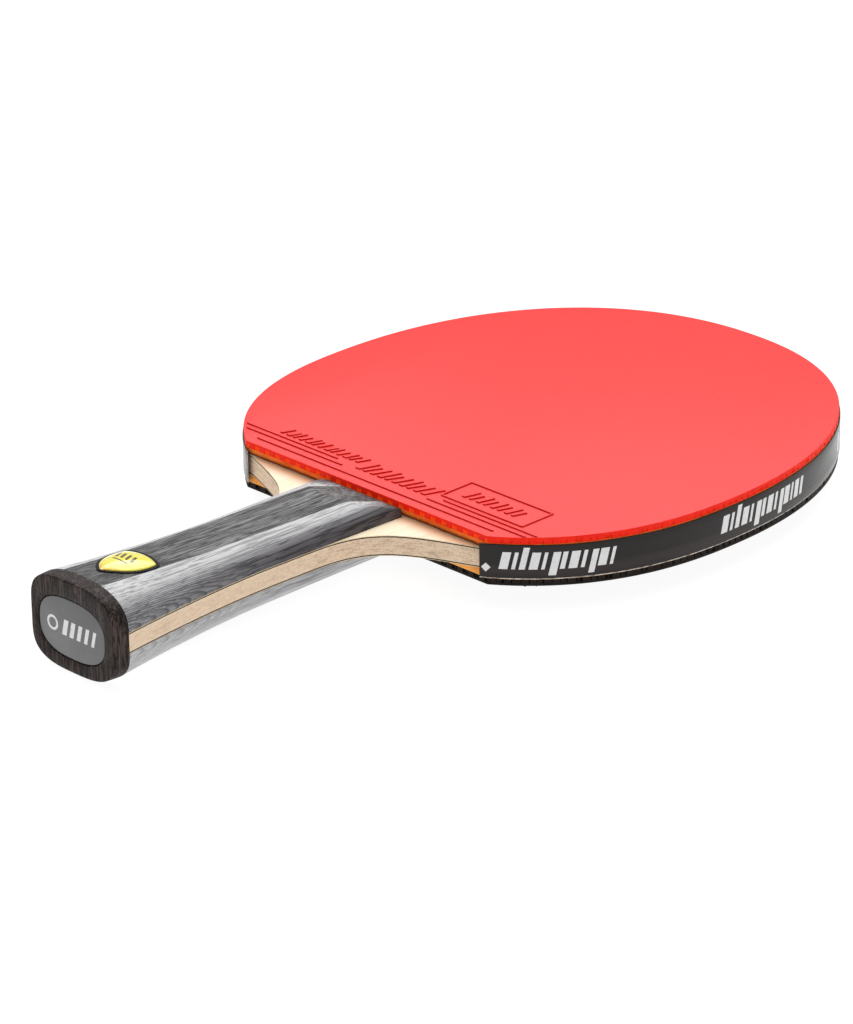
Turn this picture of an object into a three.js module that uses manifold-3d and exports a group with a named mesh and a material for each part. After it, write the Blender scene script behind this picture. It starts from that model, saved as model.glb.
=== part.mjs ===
// A table tennis paddle, in millimetres: a seven-ply blade with a flared handle, a red and a black
// rubber on sponge, an edge tape, an end cap and two badges.
//
// The pieces are built in the blade's own frame: +Y runs along the paddle, with y = 0 at the butt;
// +X is across it, with x = 0 at its centre line; +Z points out of the red face, with z = 0 at the
// middle of the blade's thickness. The exported group moves that frame so that the origin is at the
// centre of the bottom of the whole paddle's box.
import * as THREE from "three";
import { mergeVertices } from "three/addons/utils/BufferGeometryUtils.js";
import Module from "manifold-3d";

const wasm = await Module();
wasm.setup();

// Head: a superellipse whose upper and lower halves differ, cut straight for the rubbers.
const HEAD_CENTRE_Y = 165.6;
const HEAD_HALF_WIDTH = 75.0;
const HEAD_UPPER = { radius: 88.4, power: 2.17, steps: 40 };
const HEAD_LOWER = { radius: 75.3, power: 2.31, steps: 13 };
const RUBBER_EDGE_Y = 102.0;
const BLADE_CORNER_X = 49.0;

// Shoulder and neck, on the +X side: a rounded corner, then one curve into the handle.
const CORNER_CONTROL = new THREE.Vector2(47.6, 102.7);
const SHOULDER_START = new THREE.Vector2(43.6, 102.1);
const NECK_CONTROLS = [new THREE.Vector2(24.2, 94.5), new THREE.Vector2(14.8, 91.5)];
const NECK_END_Y = 72.7;
const CORNER_STEPS = 3;
const NECK_STEPS = 12;

// Layers, from the middle of the blade outwards.
const CORE_THICKNESS = 3.3;
const MEDIAL_THICKNESS = 0.75;
const FIBRE_THICKNESS = 0.3;
const VENEER_THICKNESS = 0.2;
const FILM_THICKNESS = 0.1;
const SPONGE_THICKNESS = 2.0;
const TOPSHEET_THICKNESS = 1.85;
const BLADE_HALF = CORE_THICKNESS / 2 + MEDIAL_THICKNESS + FIBRE_THICKNESS + VENEER_THICKNESS;

// Handle: half width and height above the blade's middle, narrowest at the waist and flared at the cap.
const CAP_Y = 4.3;
const WAIST_Y = 52.7;
const HANDLE_FRONT_Y = 101.6;
const WAIST_HALF_WIDTH = 13.4;
const WIDTH_FLARE = 3.8;
const WIDTH_FLARE_POWER = 1.7;
const FRONT_SWELL = 1.4;
const FRONT_SWELL_POWER = 1.4;
const FRONT_HEIGHT = 9.2;
const HEIGHT_TAPER = 0.031;
const HEIGHT_FLARE = 0.9;
const HEIGHT_FLARE_POWER = 2.5;
const SECTION_POWER = 2.5;
const STRIP_HALF_WIDTH = 7.3;
const HANDLE_STATIONS = 15;
const STRIP_STEPS = 6;
const SIDE_STEPS = 9;

// The slope that lowers the handle's front end to the rubber.
const BEVEL_START = { y: 87.2, z: 9.6 };
const BEVEL_END = { y: 101.6, z: 5.1 };

// Edge tape, and the free tail that runs on past each rubber corner.
const TAPE_THICKNESS = 0.35;
const TAPE_HALF_HEIGHT = 4.85;
const TAPE_TAIL = new THREE.Vector2(44.3, 101.0);

// End cap, drawn in from the handle's section to a smaller front, with a recess for its badge.
const CAP_FRONT = { halfWidth: 15.7, halfHeight: 12.6, power: 3.1 };
const CAP_ROUND = 0.45;
const CAP_ROUND_STEPS = 2;
const CAP_SIDE_STEPS = 7;
const BUTT_BADGE = { halfWidth: 12.5, halfHeight: 8.1, power: 2.65, z: -0.6, points: 36 };
const RECESS_OVERSHOOT = 1;
const BUTT_BADGE_THICKNESS = 0.8;
const BUTT_BADGE_SINK = 0.1;
const BUTT_BADGE_GAP = 0.3;

// Shield badge on the handle's top, draped over its curve.
const SHIELD = { y: 18.0, halfWidth: 6.8, shoulder: 6.5, crown: 9.5, tip: 8.8, steps: 8 };
const SHIELD_SIDE_CONTROL = new THREE.Vector2(8.8, -3.6);
const LABEL_THICKNESS = 0.22;
const LABEL_GAP = 0.08;
const DOME_INSET = 0.9;
const DOME_GAP = 0.02;
const DOME_HEIGHT = 1.0;
const DOME_EDGE = 0.25;
const DRAPE_LEVELS = 4;

const finishes = {
  veneer: material(0xf6dfae, 0.55),
  fibre: material(0x3a2a1e, 0.5),
  medial: material(0xdcc096, 0.6),
  core: material(0xcdb08c, 0.65),
  stripDark: material(0x55565a, 0.5),
  sideGrey: material(0x9a9a9e, 0.45),
  cap: material(0x2d2320, 0.55),
  badgeGrey: material(0x6a6a6c, 0.4),
  badgeBlack: material(0x0d0d0d, 0.35),
  badgeYellow: material(0xf2d81e, 0.12),
  redRubber: material(0xee3b38, 0.5),
  blackRubber: material(0x151312, 0.5),
  sponge: material(0xf47b33, 0.85),
  film: material(0xd9d2bd, 0.6),
  tape: material(0x1c1816, 0.3),
};

function material(color, roughness) {
  return new THREE.MeshStandardMaterial({ color, roughness, metalness: 0 });
}

function piece(name, geometry, finish) {
  const mesh = new THREE.Mesh(geometry, finish);
  mesh.name = name;
  return mesh;
}

// Solids and cuts

function solidOf(geometry) {
  const tolerance = 1e-4;
  const bare = geometry.index ? geometry.toNonIndexed() : geometry.clone();
  bare.deleteAttribute("normal");
  bare.deleteAttribute("uv");
  const merged = mergeVertices(bare, tolerance);
  const vertProperties = merged.attributes.position.array;
  const triVerts = new Uint32Array(merged.index.array);
  return new wasm.Manifold(new wasm.Mesh({ numProp: 3, vertProperties, triVerts }));
}

function geometryOf(solid) {
  const mesh = solid.getMesh();
  const geometry = new THREE.BufferGeometry();
  geometry.setAttribute("position", new THREE.BufferAttribute(mesh.vertProperties, 3));
  geometry.setIndex(new THREE.BufferAttribute(mesh.triVerts, 1));
  geometry.computeVertexNormals();
  return geometry;
}

function cut(geometry, tool) {
  return geometryOf(solidOf(geometry).subtract(solidOf(tool)));
}

// A slab of a plan shape between two heights.
function slab(outline, zLow, zHigh) {
  const depth = zHigh - zLow;
  const geometry = new THREE.ExtrudeGeometry(new THREE.Shape(outline), { depth, bevelEnabled: false });
  return geometry.translate(0, 0, zLow);
}

// A closed skin over convex rings of equal point counts, each ring wound so that it is counterclockwise
// when seen from the last ring's side.
function loft(rings) {
  const count = rings[0].length;
  const positions = rings.flat().flatMap((point) => [point.x, point.y, point.z]);
  const faces = [];
  for (let ring = 0; ring + 1 < rings.length; ring++) {
    for (let i = 0; i < count; i++) {
      const a = ring * count + i;
      const b = ring * count + ((i + 1) % count);
      faces.push(a, b, b + count, a, b + count, a + count);
    }
  }
  const last = (rings.length - 1) * count;
  for (let i = 1; i + 1 < count; i++) {
    faces.push(0, i + 1, i);
    faces.push(last, last + i, last + i + 1);
  }
  const geometry = new THREE.BufferGeometry();
  geometry.setAttribute("position", new THREE.Float32BufferAttribute(positions, 3));
  geometry.setIndex(faces);
  return geometry;
}

// Outlines of the head and blade

function headPoint(angle, half) {
  const x = HEAD_HALF_WIDTH * Math.sign(Math.cos(angle)) * Math.abs(Math.cos(angle)) ** (2 / half.power);
  const rise = half.radius * Math.abs(Math.sin(angle)) ** (2 / half.power);
  return new THREE.Vector2(x, HEAD_CENTRE_Y + Math.sign(Math.sin(angle)) * rise);
}

// The head's curve from its right-hand rubber corner, over the tip, to the left-hand one. The second
// and the last but one points are where the blade's own corner leaves it.
function headCurve() {
  const lower = HEAD_LOWER;
  const cutSine = ((HEAD_CENTRE_Y - RUBBER_EDGE_Y) / lower.radius) ** (lower.power / 2);
  const cutAngle = Math.asin(cutSine);
  const bladeAngle = Math.acos((BLADE_CORNER_X / HEAD_HALF_WIDTH) ** (lower.power / 2));
  const right = [headPoint(-cutAngle, lower)];
  for (let i = 0; i < lower.steps; i++) {
    right.push(headPoint(-bladeAngle * (1 - i / lower.steps), lower));
  }
  const top = [];
  for (let i = 0; i <= HEAD_UPPER.steps; i++) {
    top.push(headPoint((Math.PI * i) / HEAD_UPPER.steps, HEAD_UPPER));
  }
  const left = right.map(mirrored).reverse();
  return [...right, ...top, ...left];
}

function mirrored(point) {
  return new THREE.Vector2(-point.x, point.y);
}

function withoutRepeats(points) {
  const tolerance = 1e-3;
  return points.filter((point, i) => i === 0 || point.distanceTo(points[i - 1]) > tolerance);
}

// The blade's edge on one side, from its corner on the head to the butt end.
function bladeSide(corner) {
  const neckEnd = new THREE.Vector2(handleHalfWidth(NECK_END_Y), NECK_END_Y);
  const bend = new THREE.QuadraticBezierCurve(corner, CORNER_CONTROL, SHOULDER_START);
  const neck = new THREE.CubicBezierCurve(SHOULDER_START, ...NECK_CONTROLS, neckEnd);
  const tongue = handleYs()
    .filter((y) => y < NECK_END_Y)
    .reverse()
    .map((y) => new THREE.Vector2(handleHalfWidth(y), y));
  return withoutRepeats([...bend.getPoints(CORNER_STEPS), ...neck.getPoints(NECK_STEPS), ...tongue]);
}

function bladeOutline() {
  const head = headCurve().slice(1, -1);
  const side = bladeSide(head[0]).slice(1);
  return [...head, ...side.map(mirrored), ...[...side].reverse()];
}

// Handle sections

function handleHalfWidth(y) {
  const towardCap = Math.max(0, (WAIST_Y - y) / (WAIST_Y - CAP_Y));
  const towardFront = Math.max(0, (y - WAIST_Y) / (HANDLE_FRONT_Y - WAIST_Y));
  const flare = WIDTH_FLARE * towardCap ** WIDTH_FLARE_POWER;
  const swell = FRONT_SWELL * towardFront ** FRONT_SWELL_POWER;
  return WAIST_HALF_WIDTH + flare + swell;
}

function handleHeight(y) {
  const towardCap = Math.max(0, (WAIST_Y - y) / (WAIST_Y - CAP_Y));
  const taper = HEIGHT_TAPER * (HANDLE_FRONT_Y - y);
  return FRONT_HEIGHT + taper + HEIGHT_FLARE * towardCap ** HEIGHT_FLARE_POWER;
}

function handleYs() {
  const step = (HANDLE_FRONT_Y - CAP_Y) / (HANDLE_STATIONS - 1);
  return Array.from({ length: HANDLE_STATIONS }, (_, i) => CAP_Y + i * step);
}

// Height of the handle's rounded surface over a point of its plan.
function surfaceHeight(x, y) {
  const across = Math.min(1, Math.abs(x) / handleHalfWidth(y));
  const rise = (1 - across ** SECTION_POWER) ** (1 / SECTION_POWER);
  return BLADE_HALF + (handleHeight(y) - BLADE_HALF) * rise;
}

// Points of the rounded surface at one station, from xInner out to the blade's edge.
function flankPoints(y, xInner, steps) {
  const width = handleHalfWidth(y);
  const start = Math.acos((xInner / width) ** (SECTION_POWER / 2));
  const points = [];
  for (let i = 0; i < steps; i++) {
    const angle = start * (1 - i / steps);
    const x = i === 0 ? xInner : width * Math.cos(angle) ** (2 / SECTION_POWER);
    points.push(new THREE.Vector3(x, y, surfaceHeight(x, y)));
  }
  points.push(new THREE.Vector3(width, y, BLADE_HALF));
  return points;
}

// The wedge above the front slope, wider and longer than the handle.
function bevelTool() {
  const reach = 6;
  const top = 20;
  const halfWidth = 30;
  const slope = (BEVEL_END.z - BEVEL_START.z) / (BEVEL_END.y - BEVEL_START.y);
  const back = { y: BEVEL_START.y - reach, z: BEVEL_START.z - reach * slope };
  const front = { y: BEVEL_END.y + reach, z: BEVEL_END.z + reach * slope };
  const ring = (x) => [
    new THREE.Vector3(x, back.y, back.z),
    new THREE.Vector3(x, front.y, front.z),
    new THREE.Vector3(x, front.y, top),
    new THREE.Vector3(x, back.y, top),
  ];
  return loft([ring(-halfWidth), ring(halfWidth)]);
}

function centreStrip() {
  const rings = handleYs().map((y) => {
    const ring = [];
    for (let i = 0; i <= STRIP_STEPS; i++) {
      const x = STRIP_HALF_WIDTH * ((2 * i) / STRIP_STEPS - 1);
      ring.push(new THREE.Vector3(x, y, surfaceHeight(x, y)));
    }
    ring.push(new THREE.Vector3(STRIP_HALF_WIDTH, y, BLADE_HALF));
    ring.push(new THREE.Vector3(-STRIP_HALF_WIDTH, y, BLADE_HALF));
    return ring;
  });
  return cut(loft(rings), bevelTool());
}

function sideBlock() {
  const rings = handleYs().map((y) => [
    ...flankPoints(y, STRIP_HALF_WIDTH, SIDE_STEPS),
    new THREE.Vector3(STRIP_HALF_WIDTH, y, BLADE_HALF),
  ]);
  return cut(loft(rings), bevelTool());
}

// A mirrored copy that keeps its faces turned outwards.
function mirroredCopy(geometry, x, z) {
  const copy = geometry.clone().scale(x, 1, z);
  const faces = copy.index.array;
  if (x * z < 0) {
    for (let i = 0; i < faces.length; i += 3) {
      [faces[i + 1], faces[i + 2]] = [faces[i + 2], faces[i + 1]];
    }
  }
  copy.computeVertexNormals();
  return copy;
}

// The pieces, from the middle outwards

function blade() {
  const group = new THREE.Group();
  const outline = bladeOutline();
  const plies = [
    ["medial_ply", MEDIAL_THICKNESS, finishes.medial],
    ["fibre_layer", FIBRE_THICKNESS, finishes.fibre],
    ["outer_veneer", VENEER_THICKNESS, finishes.veneer],
  ];
  let z = CORE_THICKNESS / 2;
  group.add(piece("core_ply", slab(outline, -z, z), finishes.core));
  for (const [name, thickness, finish] of plies) {
    group.add(piece(name + "_red_side", slab(outline, z, z + thickness), finish));
    group.add(piece(name + "_black_side", slab(outline, -z - thickness, -z), finish));
    z += thickness;
  }
  return group;
}

function rubbers() {
  const group = new THREE.Group();
  const outline = withoutRepeats(headCurve());
  const layers = [
    ["glue_film", FILM_THICKNESS, finishes.film, finishes.film],
    ["sponge", SPONGE_THICKNESS, finishes.sponge, finishes.sponge],
    ["topsheet", TOPSHEET_THICKNESS, finishes.redRubber, finishes.blackRubber],
  ];
  let z = BLADE_HALF;
  for (const [name, thickness, red, black] of layers) {
    group.add(piece("red_" + name, slab(outline, z, z + thickness), red));
    group.add(piece("black_" + name, slab(outline, -z - thickness, -z), black));
    z += thickness;
  }
  return group;
}

function edgeTape() {
  const inner = withoutRepeats([TAPE_TAIL, ...headCurve(), mirrored(TAPE_TAIL)]);
  const outer = inner.map((point, i) => {
    const before = inner[Math.max(0, i - 1)];
    const after = inner[Math.min(inner.length - 1, i + 1)];
    const along = after.clone().sub(before).normalize();
    return new THREE.Vector2(point.x + along.y * TAPE_THICKNESS, point.y - along.x * TAPE_THICKNESS);
  });
  const outline = [...outer, ...inner.reverse()];
  return piece("edge_tape", slab(outline, -TAPE_HALF_HEIGHT, TAPE_HALF_HEIGHT), finishes.tape);
}

function scales() {
  const group = new THREE.Group();
  const strip = centreStrip();
  const block = sideBlock();
  for (const [side, z] of [["red_side", 1], ["black_side", -1]]) {
    group.add(piece("handle_strip_" + side, mirroredCopy(strip, 1, z), finishes.stripDark));
    group.add(piece("handle_block_right_" + side, mirroredCopy(block, 1, z), finishes.sideGrey));
    group.add(piece("handle_block_left_" + side, mirroredCopy(block, -1, z), finishes.sideGrey));
  }
  return group;
}

// One whole ring of the cap, between its front and the handle's section, drawn in by a margin.
function capRing(y, margin) {
  const share = y / CAP_Y;
  const between = (front, joint) => front + (joint - front) * share;
  const width = between(CAP_FRONT.halfWidth, handleHalfWidth(CAP_Y)) - margin;
  const height = between(CAP_FRONT.halfHeight, handleHeight(CAP_Y)) - margin;
  const power = between(CAP_FRONT.power, SECTION_POWER);
  const quarter = [];
  for (let i = 0; i <= CAP_SIDE_STEPS; i++) {
    const angle = (Math.PI / 2) * (i / CAP_SIDE_STEPS);
    const x = width * Math.cos(angle) ** (2 / power);
    const z = BLADE_HALF + (height - BLADE_HALF) * Math.sin(angle) ** (2 / power);
    quarter.push([i === CAP_SIDE_STEPS ? 0 : x, z]);
  }
  const half = [...quarter, ...quarter.slice(0, -1).reverse().map(([x, z]) => [-x, z])];
  const whole = [...half, ...half.map(([x, z]) => [-x, -z])];
  return whole.map(([x, z]) => new THREE.Vector3(x, y, z)).reverse();
}

function badgeRing(y, grow) {
  const { halfWidth, halfHeight, power, points } = BUTT_BADGE;
  const extent = (value) => Math.sign(value) * Math.abs(value) ** (2 / power);
  const ring = [];
  for (let i = 0; i < points; i++) {
    const angle = (-2 * Math.PI * i) / points;
    const x = (halfWidth + grow) * extent(Math.cos(angle));
    const z = BUTT_BADGE.z + (halfHeight + grow) * extent(Math.sin(angle));
    ring.push(new THREE.Vector3(x, y, z));
  }
  return ring;
}

function endCap() {
  const rings = [];
  for (let i = 0; i <= CAP_ROUND_STEPS; i++) {
    const angle = (Math.PI / 2) * (i / CAP_ROUND_STEPS);
    const y = CAP_ROUND * (1 - Math.sin(angle));
    rings.unshift(capRing(y, CAP_ROUND * (1 - Math.cos(angle))));
  }
  rings.push(capRing(CAP_Y, 0));
  const floorY = BUTT_BADGE_SINK + BUTT_BADGE_THICKNESS;
  const recess = loft([
    badgeRing(-RECESS_OVERSHOOT, BUTT_BADGE_GAP),
    badgeRing(floorY, BUTT_BADGE_GAP),
  ]);
  return piece("end_cap", cut(loft(rings), recess), finishes.cap);
}

function buttBadge() {
  const backY = BUTT_BADGE_SINK + BUTT_BADGE_THICKNESS;
  const plate = loft([badgeRing(BUTT_BADGE_SINK, 0), badgeRing(backY, 0)]);
  return piece("butt_badge", plate, finishes.badgeGrey);
}

// The shield's outline about its own centre, counterclockwise from its right-hand corner.
function shieldOutline() {
  const corner = new THREE.Vector2(SHIELD.halfWidth, SHIELD.shoulder);
  const crown = new THREE.Vector2(0, SHIELD.crown);
  const tip = new THREE.Vector2(0, -SHIELD.tip);
  const top = new THREE.QuadraticBezierCurve(corner, crown, mirrored(corner));
  const left = new THREE.QuadraticBezierCurve(mirrored(corner), mirrored(SHIELD_SIDE_CONTROL), tip);
  const right = new THREE.QuadraticBezierCurve(tip, SHIELD_SIDE_CONTROL, corner);
  const points = [top, left, right].flatMap((curve) => curve.getPoints(SHIELD.steps));
  return withoutRepeats(points).slice(0, -1);
}

// A sheet draped over the handle: its underside follows the surface at one height above it, and its
// upper side at a height that depends on how far out towards the outline a point is.
function drape(outline, under, upperAt) {
  const count = outline.length;
  const positions = [];
  const ringOf = (share, lift) => {
    for (const point of outline) {
      const x = point.x * share;
      const y = SHIELD.y + point.y * share;
      positions.push(x, y, surfaceHeight(x, y) + lift);
    }
  };
  for (let level = 1; level <= DRAPE_LEVELS; level++) ringOf(level / DRAPE_LEVELS, under);
  for (let level = DRAPE_LEVELS; level >= 1; level--) {
    const share = level / DRAPE_LEVELS;
    ringOf(share, upperAt(share));
  }
  const lowPole = positions.length / 3;
  positions.push(0, SHIELD.y, surfaceHeight(0, SHIELD.y) + under);
  positions.push(0, SHIELD.y, surfaceHeight(0, SHIELD.y) + upperAt(0));
  const faces = [];
  const rings = 2 * DRAPE_LEVELS;
  for (let ring = 0; ring < rings; ring++) {
    for (let i = 0; i < count; i++) {
      const a = ring * count + i;
      const b = ring * count + ((i + 1) % count);
      if (ring === 0) faces.push(lowPole, b, a);
      if (ring + 1 < rings) faces.push(a, b, b + count, a, b + count, a + count);
      if (ring + 1 === rings) faces.push(a, b, lowPole + 1);
    }
  }
  const geometry = new THREE.BufferGeometry();
  geometry.setAttribute("position", new THREE.Float32BufferAttribute(positions, 3));
  geometry.setIndex(faces);
  geometry.computeVertexNormals();
  return geometry;
}

function handleBadge() {
  const group = new THREE.Group();
  const labelTop = LABEL_GAP + LABEL_THICKNESS;
  const label = drape(shieldOutline(), LABEL_GAP, () => labelTop);
  const inner = shieldOutline().map((point) => point.multiplyScalar(DOME_INSET));
  const crownAt = (share) => labelTop + DOME_EDGE + (DOME_HEIGHT - DOME_EDGE) * (1 - share ** 2);
  group.add(piece("handle_badge_label", label, finishes.badgeBlack));
  group.add(piece("handle_badge_dome", drape(inner, labelTop + DOME_GAP, crownAt), finishes.badgeYellow));
  return group;
}

// The whole paddle, with its origin at the centre of the bottom of its box

const paddle = new THREE.Group();
paddle.add(blade(), rubbers(), edgeTape(), scales(), endCap(), buttBadge(), handleBadge());
const box = new THREE.Box3().setFromObject(paddle);
paddle.position.set(0, -(box.min.y + box.max.y) / 2, -box.min.z);

export default paddle;
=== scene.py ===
import math

import bpy
import numpy as np
from mathutils import Matrix, Vector


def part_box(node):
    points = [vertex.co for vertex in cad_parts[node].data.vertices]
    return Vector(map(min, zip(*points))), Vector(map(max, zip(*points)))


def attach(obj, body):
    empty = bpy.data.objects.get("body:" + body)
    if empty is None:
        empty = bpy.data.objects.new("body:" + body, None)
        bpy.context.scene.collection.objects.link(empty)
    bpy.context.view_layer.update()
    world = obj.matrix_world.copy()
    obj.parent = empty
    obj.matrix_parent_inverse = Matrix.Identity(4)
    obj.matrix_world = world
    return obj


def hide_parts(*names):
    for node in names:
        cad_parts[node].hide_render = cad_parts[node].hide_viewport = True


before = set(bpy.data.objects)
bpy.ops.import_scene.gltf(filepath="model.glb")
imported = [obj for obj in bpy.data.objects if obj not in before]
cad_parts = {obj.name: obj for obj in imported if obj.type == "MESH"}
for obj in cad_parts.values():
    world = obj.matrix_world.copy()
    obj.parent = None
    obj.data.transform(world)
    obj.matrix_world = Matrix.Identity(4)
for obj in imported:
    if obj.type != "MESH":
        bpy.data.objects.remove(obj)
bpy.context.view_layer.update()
print("frame loaded:", len(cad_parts), "nodes")

# Shapes are in millimetres: x across the paddle, y from the butt, z from the middle of the blade.
mm = 0.001
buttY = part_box("end_cap")[0].y
middleZ = (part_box("core_ply")[0].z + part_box("core_ply")[1].z) / 2
home = Vector((0, buttY, middleZ))


def span(node):
    low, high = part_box(node)
    return (low - home) / mm, (high - home) / mm


class Link:
    # a socket that adds a Math node for each operator used on it
    def __init__(self, paint, socket):
        self.paint = paint
        self.socket = socket

    def math(self, operation, *values):
        sockets = dict(enumerate(values))
        return self.paint.node("ShaderNodeMath", {"operation": operation}, sockets)

    def __add__(self, other):
        return self.math("ADD", self, other)

    def __radd__(self, other):
        return self.math("ADD", other, self)

    def __sub__(self, other):
        return self.math("SUBTRACT", self, other)

    def __rsub__(self, other):
        return self.math("SUBTRACT", other, self)

    def __mul__(self, other):
        return self.math("MULTIPLY", self, other)

    def __rmul__(self, other):
        return self.math("MULTIPLY", other, self)

    def most(self, other):
        return self.math("MAXIMUM", self, other)

    def size(self):
        return self.math("ABSOLUTE", self)

    def cosine(self):
        return self.math("COSINE", self)

    def part(self):
        return self.math("FRACT", self)

    def step(self, low, high):
        # 0 below low, 1 above high, smooth between
        settings = {"interpolation_type": "SMOOTHSTEP"}
        sockets = {"Value": self, "From Min": low, "From Max": high}
        return self.paint.node("ShaderNodeMapRange", settings, sockets)


class Paint:
    # one material, built from expressions
    def __init__(self, name):
        self.material = bpy.data.materials.new(name)
        self.material.use_nodes = True
        self.tree = self.material.node_tree
        self.shader = self.tree.nodes["Principled BSDF"]
        metres = self.node("ShaderNodeTexCoord", out="Object")
        millimetres = self.vector("SCALE", metres, Scale=1 / mm)
        self.place = self.vector("SUBTRACT", millimetres, tuple(home / mm))
        self.x, self.y, self.z = self.split(self.place)

    def node(self, kind, settings=None, sockets=None, out=0):
        made = self.tree.nodes.new(kind)
        for key, value in (settings or {}).items():
            setattr(made, key, value)
        for key, value in (sockets or {}).items():
            self.feed(made.inputs[key], value)
        return Link(self, made.outputs[out])

    def feed(self, socket, value):
        if isinstance(value, Link):
            self.tree.links.new(value.socket, socket)
        elif isinstance(value, tuple) and socket.type == "RGBA":
            socket.default_value = (*value, 1)
        else:
            socket.default_value = value

    def vector(self, operation, first, second=None, **named):
        sockets = {0: first, **named}
        if second is not None:
            sockets[1] = second
        return self.node("ShaderNodeVectorMath", {"operation": operation}, sockets)

    def split(self, vector):
        parts = self.node("ShaderNodeSeparateXYZ", None, {0: vector}).socket.node.outputs
        return [Link(self, part) for part in parts]

    def join(self, x, y, z):
        return self.node("ShaderNodeCombineXYZ", None, {0: x, 1: y, 2: z})

    def mix(self, share, first, second, blend="MIX"):
        settings = {"data_type": "RGBA", "blend_type": blend}
        return self.node("ShaderNodeMix", settings, {0: share, 6: first, 7: second}, out=2)

    def noise(self, size, detail=2.0, rough=0.5, shift=0.0, at=None):
        # noise whose features are size = (x, y, z) millimetres
        stretch = tuple(1 / s for s in size)
        offset = (shift, shift * 1.7, shift * 0.6)
        sockets = {0: at or self.place, 1: stretch, 2: offset}
        spot = self.node("ShaderNodeVectorMath", {"operation": "MULTIPLY_ADD"}, sockets)
        sockets = {"Vector": spot, "Scale": 1.0, "Detail": detail, "Roughness": rough}
        return self.node("ShaderNodeTexNoise", None, sockets, out="Fac")

    def grain(self, size, detail, at=None):
        # wood grain: noise whose size is long in the direction of the fibres
        return self.noise(size, detail, 0.55, at=at)

    def bump(self, height, depth):
        # depth is the real height in millimetres of a change of 1
        sockets = {"Height": height, "Strength": 1.0, "Distance": depth * mm}
        return self.node("ShaderNodeBump", None, sockets, out="Normal")

    def finish(self, colour, rough, normal, glow=0.0, light=None, **more):
        # glow is how strongly the surface shines by itself, in the colour of light or its own
        sockets = {"colour": colour, "rough": rough, "normal": normal, **more}
        if glow:
            sockets.update(light=light or colour, glow=glow)
        for name, value in sockets.items():
            self.feed(self.shader.inputs[socketNames[name]], value)
        return self.material


socketNames = {
    "colour": "Base Color",
    "rough": "Roughness",
    "normal": "Normal",
    "coat": "Coat Weight",
    "coatRough": "Coat Roughness",
    "specular": "Specular IOR Level",
    "light": "Emission Color",
    "glow": "Emission Strength",
}


class Stock:
    # points and faces of one piece, gathered before its mesh is made
    def __init__(self):
        self.points = []
        self.faces = []
        self.kinds = []

    def face(self, corners, kind):
        self.faces.append(tuple(corners))
        self.kinds.append(kind)

    def skin(self, rings, kind=0, startKind=None, endKind=None):
        # quads between rings of equal counts, with a flat face over each end
        first = len(self.points)
        count = len(rings[0])
        for ring in rings:
            self.points.extend(tuple(point) for point in ring)
        for level in range(len(rings) - 1):
            for i in range(count):
                a = first + level * count + i
                b = first + level * count + (i + 1) % count
                self.face((a, b, b + count, a + count), kind)
        last = first + (len(rings) - 1) * count
        self.face(range(first + count - 1, first - 1, -1), kind if startKind is None else startKind)
        self.face(range(last, last + count), kind if endKind is None else endKind)

    def stack(self, rings, kind=0, outKind=None):
        # a skin over level rings that go up or down from the blade, with its outermost face in outKind
        if rings[-1][0][2] < rings[0][0][2]:
            self.skin(rings[::-1], kind, startKind=outKind)
        else:
            self.skin(rings, kind, endKind=outKind)

    def piece(self, node, finishes, slotName, sharp=40, flip=False, standsForNode=True):
        # the finished piece, named after its node: end_cap becomes endCap
        name = pieceName(node)
        mesh = bpy.data.meshes.new(name)
        points = [tuple(Vector(p) * mm + home) for p in self.points]
        faces = [corners[::-1] for corners in self.faces] if flip else self.faces
        mesh.from_pydata(points, [], faces)
        mesh.validate()
        for finish in finishes:
            mesh.materials.append(finish)
        mesh.polygons.foreach_set("material_index", self.kinds)
        mesh.polygons.foreach_set("use_smooth", [True] * len(mesh.polygons))
        mesh.set_sharp_from_angle(angle=math.radians(sharp))
        made = addObject(name, mesh)
        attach(made, "root")
        if standsForNode:
            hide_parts(node)


def pieceName(node):
    words = node.split("_")
    return words[0] + "".join(word.capitalize() for word in words[1:])


def addObject(name, data):
    made = bpy.data.objects.new(name, data)
    bpy.context.scene.collection.objects.link(made)
    return made


def skinPiece(rings, *details, **more):
    # a piece that is one skin over its rings
    stock = Stock()
    stock.skin(rings)
    stock.piece(*details, **more)


def runningLength(points):
    return np.r_[0, np.cumsum(np.hypot(*np.diff(points, axis=0).T))]


def evenly(points, step=None, closed=False, count=None):
    # the same curve with its points about step apart, or in count equal steps
    points = np.asarray(points, float)
    if closed:
        points = np.vstack([points, points[:1]])
    lengths = runningLength(points)
    count = count or max(1, round(lengths[-1] / step))
    at = np.linspace(0, lengths[-1], count + 1)
    spread = np.c_[np.interp(at, lengths, points[:, 0]), np.interp(at, lengths, points[:, 1])]
    return spread[:-1] if closed else spread


def bezier(controls, count):
    # a curve of any degree through its first and last control point
    t = np.linspace(0, 1, count)[:, None]
    levels = [np.array(c, float)[None] * np.ones_like(t) for c in controls]
    while len(levels) > 1:
        levels = [(1 - t) * a + t * b for a, b in zip(levels, levels[1:])]
    return levels[0]


def outward(points, closed=True):
    # for each point of a counterclockwise outline, the shift that moves both its sides out by 1
    points = np.asarray(points, float)
    if closed:
        before, after = np.roll(points, 1, 0), np.roll(points, -1, 0)
    else:
        before, after = np.vstack([points[:1], points[:-1]]), np.vstack([points[1:], points[-1:]])
    sides = []
    for delta in (points - before, after - points):
        still = np.hypot(*delta.T) < 1e-9
        delta[still] = (after - before)[still]
        sides.append(np.c_[delta[:, 1], -delta[:, 0]] / np.hypot(*delta.T)[:, None])
    middle = sides[0] + sides[1]
    middle /= np.hypot(*middle.T)[:, None]
    lean = np.clip((middle * sides[0]).sum(1), 0.5, 1)
    return middle / lean[:, None]


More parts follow.
